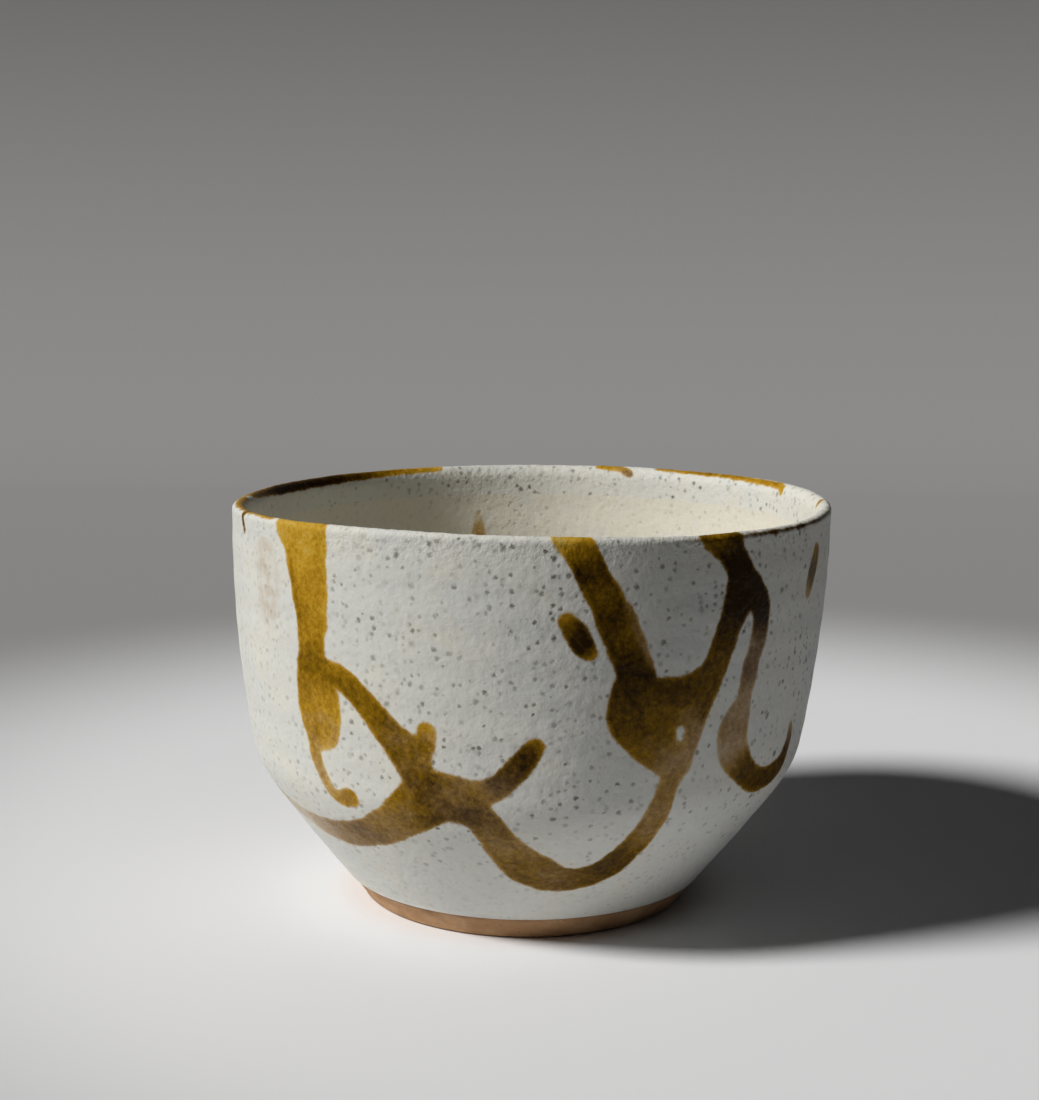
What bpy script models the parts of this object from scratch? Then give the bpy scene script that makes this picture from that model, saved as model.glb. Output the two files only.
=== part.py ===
# A tea bowl, thrown in stoneware: one turned solid with a hollow, empty inside.
# Metres, +Z up. The origin is on the bowl's axis, at the surface that it stands on.

import math

import bmesh
import bpy

# Outside, from the rim down
HEIGHT = 0.0743
RIM_RADIUS = 0.0550
SHOULDER_RADIUS = 0.0507
SHOULDER_HEIGHT = 0.0270
SHOULDER_ROUNDING = 0.0020
UPPER_WALL_BULGE = 0.0011
LOWER_WALL_BULGE = 0.0004

# The glaze ends above the foot, and the bare clay of the foot shows below it
GLAZE_THICKNESS = 0.0007
GLAZE_EDGE_RISE = 0.0006
CLAY_BAND_HEIGHT = 0.0043
CLAY_BAND_RADIUS = 0.0334
FOOT_RADIUS = 0.0307
FOOT_EDGE_ROUNDING = 0.0006

# Underside: a flat ring to stand on, around a shallow recess
FOOT_RING_WIDTH = 0.0055
RECESS_DEPTH = 0.0026
RECESS_WALL_RUN = 0.0018

# Inside
LIP_THICKNESS = 0.0030
WALL_THICKNESS = 0.0042
FLOOR_THICKNESS = 0.0060
WELL_DEPTH = 0.0100
WELL_CORNER_REACH = 0.0075
WELL_FLOOR_REACH = 0.0180

# Fineness of the turned shape
ROUND_STEPS = 96
UPPER_WALL_POINTS = 9
LOWER_WALL_POINTS = 7
INNER_WALL_POINTS = 11
WELL_POINTS = 8
LIP_POINTS = 6
FOOT_EDGE_POINTS = 3
MERGE_DISTANCE = 0.00005
SLOPE_STEP = 0.0001

# Looks
GLAZE_COLOUR = (0.62, 0.60, 0.54, 1.0)
GLAZE_ROUGHNESS = 0.42

LIP_RADIUS = LIP_THICKNESS / 2
LIP_CENTRE_HEIGHT = HEIGHT - LIP_RADIUS
WELL_FLOOR_HEIGHT = RECESS_DEPTH + FLOOR_THICKNESS
WELL_TOP_HEIGHT = WELL_FLOOR_HEIGHT + WELL_DEPTH
GLAZE_EDGE_HEIGHT = CLAY_BAND_HEIGHT + GLAZE_EDGE_RISE
GLAZE_EDGE_RADIUS = CLAY_BAND_RADIUS + GLAZE_THICKNESS


def bowed_line(height, low, high, bulge):
    """Radius at a height on the line from low to high, each (radius, height), bowed outwards."""
    share = (height - low[1]) / (high[1] - low[1])
    return low[0] + (high[0] - low[0]) * share + 4 * bulge * share * (1 - share)


def rounded_minimum(first, second, rounding):
    """The smaller of two radii, with the corner where they cross rounded off."""
    overlap = max(rounding - abs(first - second), 0) / rounding
    return min(first, second) - overlap**2 * rounding / 4


def outer_radius(height):
    """Radius of the glazed wall: a cone up to the shoulder, then a nearly upright wall."""
    shoulder = (SHOULDER_RADIUS, SHOULDER_HEIGHT)
    glaze_edge = (GLAZE_EDGE_RADIUS, GLAZE_EDGE_HEIGHT)
    rim = (RIM_RADIUS, LIP_CENTRE_HEIGHT)
    lower = bowed_line(height, glaze_edge, shoulder, LOWER_WALL_BULGE)
    upper = bowed_line(height, shoulder, rim, UPPER_WALL_BULGE)
    return rounded_minimum(lower, upper, SHOULDER_ROUNDING)


def outer_slope(height):
    """Radius gained for each metre of height, on the outside."""
    gain = outer_radius(height + SLOPE_STEP) - outer_radius(height - SLOPE_STEP)
    return gain / (2 * SLOPE_STEP)


def inner_radius(height):
    """Radius of the inside, set in from the outside by the wall's thickness at right angles."""
    share = (height - WELL_TOP_HEIGHT) / (LIP_CENTRE_HEIGHT - WELL_TOP_HEIGHT)
    thickness = WALL_THICKNESS + (LIP_THICKNESS - WALL_THICKNESS) * share
    return outer_radius(height) - thickness * math.hypot(1, outer_slope(height))


def spaced(start, end, count):
    """Evenly spaced values from start to end, with both."""
    return [start + (end - start) * step / (count - 1) for step in range(count)]


def arc(centre, radius, start_angle, end_angle, count):
    """Points on a circular arc, as (radius, height)."""
    return [
        (centre[0] + radius * math.cos(angle), centre[1] + radius * math.sin(angle))
        for angle in spaced(start_angle, end_angle, count)
    ]


def bezier(first, first_handle, last_handle, last, count):
    """Points on a cubic Bezier curve, as (radius, height)."""
    points = []
    for share in spaced(0, 1, count):
        rest = 1 - share
        weights = (rest**3, 3 * rest**2 * share, 3 * rest * share**2, share**3)
        corners = (first, first_handle, last_handle, last)
        radius = sum(weight * corner[0] for weight, corner in zip(weights, corners))
        height = sum(weight * corner[1] for weight, corner in zip(weights, corners))
        points.append((radius, height))
    return points


def well_points():
    """From the middle of the floor inside, out and up into the wall."""
    top_radius = inner_radius(WELL_TOP_HEIGHT)
    slope = (inner_radius(WELL_TOP_HEIGHT + SLOPE_STEP) - top_radius) / SLOPE_STEP
    length = math.hypot(1, slope)
    corner = (
        top_radius - WELL_CORNER_REACH * slope / length,
        WELL_TOP_HEIGHT - WELL_CORNER_REACH / length,
    )
    centre = (0.0, WELL_FLOOR_HEIGHT)
    floor_handle = (WELL_FLOOR_REACH, WELL_FLOOR_HEIGHT)
    return bezier(centre, floor_handle, corner, (top_radius, WELL_TOP_HEIGHT), WELL_POINTS)


def inner_wall_points():
    """Up the inside, from the well to the lip."""
    heights = spaced(WELL_TOP_HEIGHT, LIP_CENTRE_HEIGHT, INNER_WALL_POINTS)
    return [(inner_radius(height), height) for height in heights]


def lip_points():
    """Over the rounded lip, from the inside to the outside."""
    centre = (RIM_RADIUS - LIP_RADIUS, LIP_CENTRE_HEIGHT)
    return arc(centre, LIP_RADIUS, math.pi, 0, LIP_POINTS + 1)


def outer_wall_points():
    """Down the outside, from the lip to the glaze's lower edge."""
    upper = spaced(LIP_CENTRE_HEIGHT, SHOULDER_HEIGHT, UPPER_WALL_POINTS)
    lower = spaced(SHOULDER_HEIGHT, GLAZE_EDGE_HEIGHT, LOWER_WALL_POINTS)
    return [(outer_radius(height), height) for height in upper + lower[1:]]


def foot_points():
    """Down the bare clay, across the ring that it stands on and up into the recess."""
    edge_centre = (FOOT_RADIUS - FOOT_EDGE_ROUNDING, FOOT_EDGE_ROUNDING)
    ring_inner_radius = FOOT_RADIUS - FOOT_RING_WIDTH
    clay_top = [(CLAY_BAND_RADIUS, CLAY_BAND_HEIGHT)]
    edge = arc(edge_centre, FOOT_EDGE_ROUNDING, 0, -math.pi / 2, FOOT_EDGE_POINTS)
    recess = [
        (ring_inner_radius, 0.0),
        (ring_inner_radius - RECESS_WALL_RUN, RECESS_DEPTH),
        (0.0, RECESS_DEPTH),
    ]
    return clay_top + edge + recess


def bowl_profile():
    """The bowl's section, from the axis inside, over the lip, to the axis underneath."""
    points = well_points() + inner_wall_points()[1:] + lip_points()[1:]
    return points + outer_wall_points()[1:] + foot_points()


def clear_scene():
    for old in list(bpy.data.objects):
        bpy.data.objects.remove(old, do_unlink=True)


def make_material(name, colour, roughness):
    material = bpy.data.materials.new(name)
    material.use_nodes = True
    material.diffuse_color = colour
    shader = material.node_tree.nodes["Principled BSDF"]
    shader.inputs["Base Color"].default_value = colour
    shader.inputs["Roughness"].default_value = roughness
    shader.inputs["Metallic"].default_value = 0.0
    return material


def make_turned(name, profile, material, collection):
    """Turns a profile of (radius, height) points about the Z axis into a closed solid."""
    mesh = bpy.data.meshes.new(name)
    shape = bmesh.new()
    points = [shape.verts.new((radius, 0, height)) for radius, height in profile]
    for start, end in zip(points, points[1:]):
        shape.edges.new((start, end))
    shape.to_mesh(mesh)
    shape.free()
    mesh.materials.append(material)
    turned = bpy.data.objects.new(name, mesh)
    collection.objects.link(turned)
    screw = turned.modifiers.new("Turn", "SCREW")
    screw.axis = "Z"
    screw.angle = math.tau
    screw.steps = ROUND_STEPS
    screw.render_steps = ROUND_STEPS
    screw.use_merge_vertices = True
    screw.merge_threshold = MERGE_DISTANCE
    screw.use_smooth_shade = True
    return turned


def main():
    clear_scene()
    collection = bpy.data.collections.new("tea_bowl")
    bpy.context.scene.collection.children.link(collection)
    glaze = make_material("white_glaze", GLAZE_COLOUR, GLAZE_ROUGHNESS)
    make_turned("tea_bowl", bowl_profile(), glaze, collection)


main()
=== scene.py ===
import math

import bmesh
import bpy
import numpy as np
from mathutils import Euler, Matrix, Vector, noise


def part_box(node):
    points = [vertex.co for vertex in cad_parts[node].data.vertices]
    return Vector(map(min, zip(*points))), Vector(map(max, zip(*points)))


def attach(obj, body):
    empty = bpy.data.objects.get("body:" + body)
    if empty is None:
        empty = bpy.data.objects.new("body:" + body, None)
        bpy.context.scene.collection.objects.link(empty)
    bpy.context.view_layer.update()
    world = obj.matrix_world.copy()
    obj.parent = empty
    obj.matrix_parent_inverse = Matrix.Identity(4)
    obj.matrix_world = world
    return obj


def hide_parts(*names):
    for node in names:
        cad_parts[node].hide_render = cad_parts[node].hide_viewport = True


# Tea bowl in speckled white stoneware with amber glaze trails. Shape values are in millimetres and degrees.
# A turn is an angle round the bowl: 0 faces the camera, 90 is to its right and 180 is the back.
mm = 0.001

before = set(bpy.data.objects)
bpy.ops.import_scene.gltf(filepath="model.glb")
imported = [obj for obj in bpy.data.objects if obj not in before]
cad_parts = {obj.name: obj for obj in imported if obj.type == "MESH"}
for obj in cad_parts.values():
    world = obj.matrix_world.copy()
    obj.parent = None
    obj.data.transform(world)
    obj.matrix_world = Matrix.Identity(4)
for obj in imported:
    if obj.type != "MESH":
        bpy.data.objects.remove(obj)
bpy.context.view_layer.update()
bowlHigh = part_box("tea_bowl")[1]
rimRadius = bowlHigh.x / mm
rimHeight = bowlHigh.z / mm
print("frame loaded")


# The turned section, with the same values as the solid
section = {
    "shoulderRadius": 50.7,
    "shoulderHeight": 27.0,
    "shoulderRounding": 2.0,
    "upperBulge": 1.1,
    "lowerBulge": 0.4,
    "glazeEdgeRadius": 34.1,
    "glazeEdgeHeight": 4.9,
    "lipThickness": 3.0,
    "lipOuterRounding": 1.0,
    "lipInnerSlope": 2.9,
    "lipRoundness": 0.55,
    "wallThickness": 4.2,
    "wellFloorHeight": 8.6,
    "wellDepth": 10.0,
    "wellCornerReach": 7.5,
    "wellFloorReach": 18.0,
    "slopeStep": 0.1,
}
lipRadius = section["lipThickness"] / 2
lipCentreHeight = rimHeight - lipRadius
wellTopHeight = section["wellFloorHeight"] + section["wellDepth"]


def bowedLine(height, low, high, bulge):
    share = (height - low[1]) / (high[1] - low[1])
    return low[0] + (high[0] - low[0]) * share + 4 * bulge * share * (1 - share)


def outerRadius(height):
    shoulder = (section["shoulderRadius"], section["shoulderHeight"])
    glazeEdge = (section["glazeEdgeRadius"], section["glazeEdgeHeight"])
    lower = bowedLine(height, glazeEdge, shoulder, section["lowerBulge"])
    upper = bowedLine(height, shoulder, (rimRadius, lipCentreHeight), section["upperBulge"])
    rounding = section["shoulderRounding"]
    overlap = np.maximum(rounding - np.abs(lower - upper), 0) / rounding
    return np.minimum(lower, upper) - overlap**2 * rounding / 4


def innerRadius(height):
    step = section["slopeStep"]
    slope = (outerRadius(height + step) - outerRadius(height - step)) / (2 * step)
    share = (height - wellTopHeight) / (lipCentreHeight - wellTopHeight)
    thickness = section["wallThickness"] + (section["lipThickness"] - section["wallThickness"]) * share
    return outerRadius(height) - thickness * np.hypot(1, slope)


def arcPoints(centre, radius, startDegrees, endDegrees, count):
    angles = np.radians(np.linspace(startDegrees, endDegrees, count))
    return np.stack([centre[0] + radius * np.cos(angles), centre[1] + radius * np.sin(angles)], 1)


def curvePoints(start, startHandle, endHandle, end, count):
    share = np.linspace(0, 1, count)[:, None]
    rest = 1 - share
    return (rest**3 * np.array(start) + 3 * rest**2 * share * np.array(startHandle)
            + 3 * rest * share**2 * np.array(endHandle) + share**3 * np.array(end))


def upWall(wallRadius, height):
    step = section["slopeStep"]
    slope = (wallRadius(height + step) - wallRadius(height - step)) / (2 * step)
    return np.array([slope, 1]) / math.hypot(1, slope)


def wellPoints(count):
    top = np.array([innerRadius(wellTopHeight), wellTopHeight])
    corner = top - upWall(innerRadius, wellTopHeight + section["slopeStep"]) * section["wellCornerReach"]
    reach, floorHeight = section["wellFloorReach"], section["wellFloorHeight"]
    return curvePoints((0, floorHeight), (reach, floorHeight), corner, top, count)


# The lip: a long slope inside, up to a crest near the outside, and a small rounding down to the wall
outerLipHeight = rimHeight - section["lipOuterRounding"]
innerLipHeight = rimHeight - section["lipInnerSlope"]


def lipPoints(count):
    slope, rounding = section["lipInnerSlope"], section["lipOuterRounding"]
    roundness = section["lipRoundness"]
    inner = np.array([innerRadius(innerLipHeight), innerLipHeight])
    outer = np.array([outerRadius(outerLipHeight), outerLipHeight])
    crest = np.array([outer[0] - rounding, rimHeight])
    innerHandle = inner + upWall(innerRadius, innerLipHeight) * slope * roundness
    outerHandle = outer + upWall(outerRadius, outerLipHeight) * rounding * roundness
    towards = crest - ((crest[0] - inner[0]) * roundness, 0)
    beyond = crest + (rounding * roundness, 0)
    return np.concatenate([curvePoints(inner, innerHandle, towards, crest, count),
                           curvePoints(crest, beyond, outerHandle, outer, count)[1:]])


def pathLengths(points):
    return np.append(0, np.cumsum(np.linalg.norm(np.diff(points, axis=0), axis=1)))


# The whole glazed section, from the middle of the floor inside to the glaze's lower edge outside.
# "over" is the distance along it from the lip's crest: positive outside, negative inside.
fine = 400  # points on each stretch
innerHeights = np.linspace(wellTopHeight, innerLipHeight, fine)
outerHeights = np.linspace(outerLipHeight, section["glazeEdgeHeight"], fine)
glazedSection = np.concatenate([
    wellPoints(fine),
    np.stack([innerRadius(innerHeights), innerHeights], 1)[1:],
    lipPoints(fine)[1:],
    np.stack([outerRadius(outerHeights), outerHeights], 1)[1:],
])
sectionOver = pathLengths(glazedSection)
sectionOver -= sectionOver[np.argmax(glazedSection[:, 1])]
overInsideEnd, overOutsideEnd = sectionOver[0], sectionOver[-1]


def pointOver(over):
    return np.stack([np.interp(over, sectionOver, glazedSection[:, 0]),
                     np.interp(over, sectionOver, glazedSection[:, 1])], -1)


def overAtHeight(height):
    outside = sectionOver >= 0
    return np.interp(-np.asarray(height, float), -glazedSection[outside, 1], sectionOver[outside])


def inwardNormals(points):
    along = np.gradient(points, axis=0)
    along /= np.linalg.norm(along, axis=1)[:, None]
    return np.stack([-along[:, 1], along[:, 0]], 1)


# Hand-thrown unevenness: the wall leans and the rim rises and dips by less than a millimetre
unevenness = {
    "lean": (-0.45, 0.56, 0.34),
    "rimWaves": ((1, 0.28, -0.04), (2, -0.31, 0.36), (3, 0.20, 0.09)),
    "wavesFrom": 0.4,  # a share of the height, as the rim's waves don't reach the foot
    "ovalWaves": ((2, 0.10, -0.06), (3, -0.05, 0.07), (5, 0.03, 0.02)),
    "throwingRings": 0.035,
    "ringSpacing": 6.5,
    "ringClimb": 1.3,
    "evenBelow": 8,
    "fullUnevenness": 18,
    "fitToBox": 0.9895,  # keeps the highest point of the uneven rim at the solid's height
}


def wavesAt(angle, waves):
    return sum(cosPart * np.cos(count * angle) + sinPart * np.sin(count * angle)
               for count, cosPart, sinPart in waves)


# Moves even, turned points (x, y, z in mm) to where the thrown bowl has them
def thrown(points):
    angle = np.arctan2(points[:, 1], points[:, 0])
    radius = np.hypot(points[:, 0], points[:, 1])
    rise = points[:, 2] / rimHeight
    first, second, third = unevenness["lean"]
    nearRim = np.clip((rise - unevenness["wavesFrom"]) / (1 - unevenness["wavesFrom"]), 0, 1) ** 2
    ringPhase = math.tau * points[:, 2] / unevenness["ringSpacing"]
    ringPhase += unevenness["ringClimb"] * np.sin(angle)
    low, high = unevenness["evenBelow"], unevenness["fullUnevenness"]
    inWall = np.clip(radius / rimRadius, 0, 1) ** 2 * np.clip((points[:, 2] - low) / (high - low), 0, 1)
    radius = radius + wavesAt(angle, unevenness["ovalWaves"]) * inWall
    radius = radius + unevenness["throwingRings"] * np.sin(ringPhase) * inWall
    moved = points.copy()
    moved[:, 0] = radius * np.cos(angle) + first + second * rise + third * rise**2
    moved[:, 1] = radius * np.sin(angle)
    moved[:, 2] += wavesAt(angle, unevenness["rimWaves"]) * nearRim
    return moved * unevenness["fitToBox"]


# Trails of amber glaze outside, each a run of (turn, height, half width, depth of glaze, milkiness).
# Depth 0.2 is thin and golden, 1 is a dark pool. Milkiness 1 is where white shows through as greige.
outsideTrails = {
    "leftTrail": [(-45, 74.3, 6.3, 0.17, 0.1), (-43.3, 72.5, 5.7, 0.27, 0), (-42.7, 68.6, 5.0, 0.31, 0),
                  (-41.8, 63.6, 4.4, 0.35, 0), (-41.3, 59.5, 3.7, 0.42, 0), (-41.6, 55.2, 3.3, 0.42, 0),
                  (-42, 51.7, 3.3, 0.62, 0)],
    "leftTrailEdge": [(-48.5, 72.5, 0.7, 0.54, 0), (-46.6, 68, 0.7, 0.68, 0), (-45.3, 62, 0.7, 0.54, 0),
                      (-44.2, 56, 0.6, 0.72, 0)],
    "leftLobe": [(-42, 50.3, 3.8, 0.59, 0), (-41.1, 46.7, 4.9, 0.47, 0.1), (-40.9, 42.9, 5.1, 0.38, 0.2),
                 (-40.3, 40, 3.8, 0.38, 0.3), (-39.8, 38, 2.0, 0.22, 0.4)],
    "leftTail": [(-44.4, 47, 1.5, 0.55, 0), (-44.2, 42.5, 1.5, 0.54, 0.2), (-43.2, 38, 1.6, 0.40, 0.3),
                 (-42.9, 34.1, 1.4, 0.41, 0.4), (-41.7, 31.4, 1.3, 0.42, 0.5), (-40.2, 29, 1.2, 0.36, 0.5),
                 (-37.9, 27.8, 1.5, 0.47, 0.2), (-35.5, 28.4, 1.9, 0.45, 0.2)],
    "branch": [(-38.7, 50, 2.5, 0.54, 0), (-35.1, 49.5, 2.3, 0.54, 0), (-31.6, 47.2, 2.3, 0.64, 0),
               (-28.2, 44.3, 2.5, 0.59, 0.1), (-25.2, 41.2, 2.9, 0.60, 0.3), (-22, 38.2, 3.4, 0.64, 0.3),
               (-20.2, 35.1, 3.1, 0.69, 0.3)],
    "stub": [(-19.7, 36.6, 2.1, 0.50, 0.3), (-18.2, 39.8, 1.9, 0.56, 0.3), (-17.8, 42, 1.8, 0.38, 0.3)],
    "starCore": [(-20.4, 35, 2.6, 0.72, 0.3), (-18.2, 32.2, 3.7, 0.80, 0.2), (-14.8, 31.3, 3.9, 0.70, 0.4)],
    "starShade": [(-19.5, 33.5, 1.0, 0.74, 0.2), (-15.5, 30.4, 1.1, 0.89, 0.5),
                  (-11.5, 28.6, 1.2, 0.88, 0.5)],
    "armRight": [(-14.8, 31.8, 3.6, 0.55, 0.4), (-9.2, 31.9, 2.7, 0.50, 0.5), (-5, 33.5, 2.3, 0.77, 0.7),
                 (-1.8, 36.3, 2.2, 0.83, 0.4), (0.5, 39, 2.0, 0.82, 0), (1.6, 40.5, 1.6, 0.54, 0)],
    "armTip": [(-4.4, 35.6, 0.7, 0.76, 0), (-1.2, 38.6, 1.0, 0.82, 0), (0.4, 40.2, 0.9, 0.68, 0)],
    "bandLeft": [(-17.9, 28.7, 3.5, 0.79, 0.2), (-24.7, 25.6, 3.8, 0.59, 0.4), (-32.9, 22, 3.5, 0.62, 0.5),
                 (-42.3, 19.9, 3.3, 0.59, 0.7), (-51, 19.6, 2.8, 0.37, 1), (-60, 20.6, 2.2, 0.16, 1),
                 (-70, 22, 2.2, 0.24, 1)],
    "bandUpper": [(-22.2, 30.6, 2.4, 0.50, 0.3), (-26.8, 26.7, 2.0, 0.47, 0.3), (-32, 23.5, 1.5, 0.33, 0.5)],
    "loop": [(-13.7, 30.3, 3.9, 0.74, 0.6), (-9.1, 28.2, 3.2, 0.78, 0.5), (-6, 24.5, 3.1, 0.58, 0.5),
             (-2.6, 20.3, 3.8, 0.53, 0.4), (1.4, 17.1, 4.3, 0.60, 0.3), (7.1, 14.6, 3.8, 0.67, 0.4),
             (13.4, 14.5, 3.2, 0.72, 0.1), (18.9, 16.5, 3.2, 0.77, 0), (22.4, 20.5, 3.0, 0.70, 0.2),
             (24.6, 24.8, 2.7, 0.54, 0.5), (26, 29.4, 2.3, 0.45, 0.5), (27.3, 33.4, 2.2, 0.45, 0.5)],
    "loopEdge": [(-9, 25.6, 0.8, 0.62, 0.3), (-6.6, 20.8, 0.9, 0.58, 0.4), (-2.6, 16.2, 0.9, 0.66, 0.2),
                 (4, 13.2, 0.8, 0.62, 0.2)],
    "middleTrail": [(6.2, 74.3, 3.1, 0.12, 0.3), (7.7, 72.8, 2.9, 0.46, 0), (9.8, 69.2, 2.7, 0.79, 0),
                    (12.1, 65.7, 2.8, 0.68, 0), (14.1, 61.7, 3.0, 0.84, 0), (16.1, 57.7, 3.1, 0.71, 0),
                    (17.6, 53.9, 3.2, 0.88, 0), (18.8, 51.3, 3.4, 0.92, 0)],
    "middleTrailEdge": [(7.2, 70, 0.7, 0.88, 0), (9.6, 65.5, 0.7, 0.86, 0), (11.8, 61, 0.7, 0.80, 0),
                        (14.4, 55.6, 0.7, 0.84, 0)],
    "middleTrailLight": [(16.4, 63, 0.7, 0.50, 0.9), (18.6, 58, 0.9, 0.46, 1), (20.4, 54.4, 0.8, 0.44, 1)],
    "pool": [(17.4, 49.7, 3.2, 0.84, 0), (19.2, 45.7, 5.3, 0.73, 0), (22.3, 42.6, 5.6, 0.61, 0.1),
             (25, 39.4, 4.4, 0.54, 0.4), (27.1, 36, 2.7, 0.41, 0.7)],
    "poolRight": [(23.4, 48.7, 2.9, 0.74, 0), (29.2, 48.4, 3.2, 0.72, 0), (31.7, 49.4, 3.3, 0.66, 0)],
    "rightTrail": [(33.6, 74.3, 4.0, 0.72, 0), (36.4, 70.9, 2.8, 0.94, 0), (38.4, 67.6, 3.1, 1.0, 0),
                   (39, 64.5, 3.7, 0.98, 0), (37.7, 61.3, 3.2, 0.96, 0), (36.3, 57.8, 2.7, 0.86, 0),
                   (34.9, 54, 2.8, 0.77, 0), (33.4, 50.3, 2.8, 0.72, 0.1), (31.8, 46.8, 2.8, 0.70, 0.2),
                   (30.4, 43.2, 2.8, 0.55, 0.6), (29.6, 39.3, 2.5, 0.41, 0.7), (28.7, 35.4, 2.2, 0.43, 0.6)],
    "rightLeg": [(40.6, 65.2, 3.0, 1.0, 0), (43.4, 62.7, 2.7, 1.0, 0), (44.7, 59.7, 2.3, 1.0, 0),
                 (44.3, 55.5, 2.2, 0.62, 0.9), (43.3, 51.8, 2.1, 0.76, 1), (42.6, 47.9, 2.1, 0.56, 0.9),
                 (42.4, 45, 2.0, 0.46, 0.9)],
    "rightHook": [(41.2, 42.6, 3.2, 0.47, 0.9), (40.6, 40, 3.8, 0.48, 0.8), (41.6, 36.6, 3.6, 0.41, 0.8),
                  (45.2, 32.7, 2.7, 0.74, 0), (50.8, 29.5, 2.5, 0.74, 0), (56.5, 29.3, 2.5, 0.74, 0),
                  (60.5, 31, 2.2, 0.80, 0), (62.3, 34.2, 1.6, 0.80, 0.3), (62, 37.2, 1.0, 0.50, 0.6)],
    "dash": [(64.2, 68.3, 1.7, 0.54, 0.4), (62.6, 65, 2.1, 0.80, 0), (61.2, 61.8, 1.5, 0.46, 0.6)],
    "dot": [(6.2, 61.2, 1.6, 0.56, 0), (7.6, 59.3, 2.0, 0.86, 0), (9.0, 57.3, 2.0, 1.0, 0),
            (10.1, 56, 1.3, 0.62, 0.1)],
    "leftDrip": [(-66.5, 73.9, 0.8, 0.92, 0.1), (-65, 71.2, 0.8, 0.92, 0.1)],
    # The side away from the camera goes on in kind, and plainer
    "bandBehind": [(-70, 22, 2.2, 0.24, 1), (-84, 23.4, 2.6, 0.44, 0.7), (-98, 26.8, 2.7, 0.56, 0.5),
                   (-110, 31.5, 3.0, 0.62, 0.3), (-120, 36.5, 3.8, 0.68, 0.2)],
    "trailBehindLeft": [(-106, 71.0, 3.0, 0.50, 0), (-107, 67, 3.2, 0.44, 0), (-110, 60, 3.0, 0.50, 0),
                        (-115, 52, 2.8, 0.60, 0), (-119, 44, 3.2, 0.68, 0.1), (-121, 37, 4.4, 0.68, 0.2)],
    "loopBehind": [(-121, 36, 3.6, 0.62, 0.3), (-130, 29, 3.0, 0.60, 0.5), (-142, 22.5, 3.2, 0.62, 0.4),
                   (-154, 18.8, 3.6, 0.66, 0.3), (-165, 20.5, 3.0, 0.60, 0.4), (-172, 26.5, 2.6, 0.50, 0.6),
                   (-175, 34, 2.4, 0.52, 0.5), (-177, 42, 3.4, 0.64, 0.2)],
    "trailBehind": [(160, 72.2, 2.4, 0.44, 0), (163, 67, 2.9, 0.62, 0), (169, 59, 2.7, 0.70, 0),
                    (177, 51, 3.4, 0.74, 0), (-178, 44, 5.0, 0.74, 0), (-177, 40, 3.4, 0.60, 0.3)],
    "armBehind": [(-179, 43, 3.0, 0.66, 0.2), (172, 38, 2.4, 0.62, 0.4), (164, 36, 2.2, 0.68, 0.3),
                  (158, 38.5, 1.6, 0.80, 0)],
    "trailBehindRight": [(125, 71.2, 2.2, 0.40, 0), (122, 67, 2.8, 0.60, 0), (118, 59, 2.5, 0.68, 0),
                         (115, 50, 2.5, 0.62, 0.2), (113, 42, 3.0, 0.56, 0.5), (108, 34.5, 3.4, 0.52, 0.7),
                         (99, 28.5, 2.8, 0.56, 0.4), (90, 27, 2.4, 0.70, 0), (84, 30, 1.8, 0.76, 0)],
    "footBehindRight": [(110, 36, 2.8, 0.56, 0.5), (116, 28, 2.4, 0.52, 0.6), (124, 22.5, 2.6, 0.52, 0.5),
                        (133, 21, 2.0, 0.50, 0.4)],
    "dotBehind": [(146, 58, 1.5, 0.74, 0), (148, 55.5, 1.8, 0.88, 0)],
    "dashBehind": [(88, 62, 1.3, 0.66, 0), (87, 58.5, 1.6, 0.80, 0), (86, 56, 1.0, 0.66, 0)],
}

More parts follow.
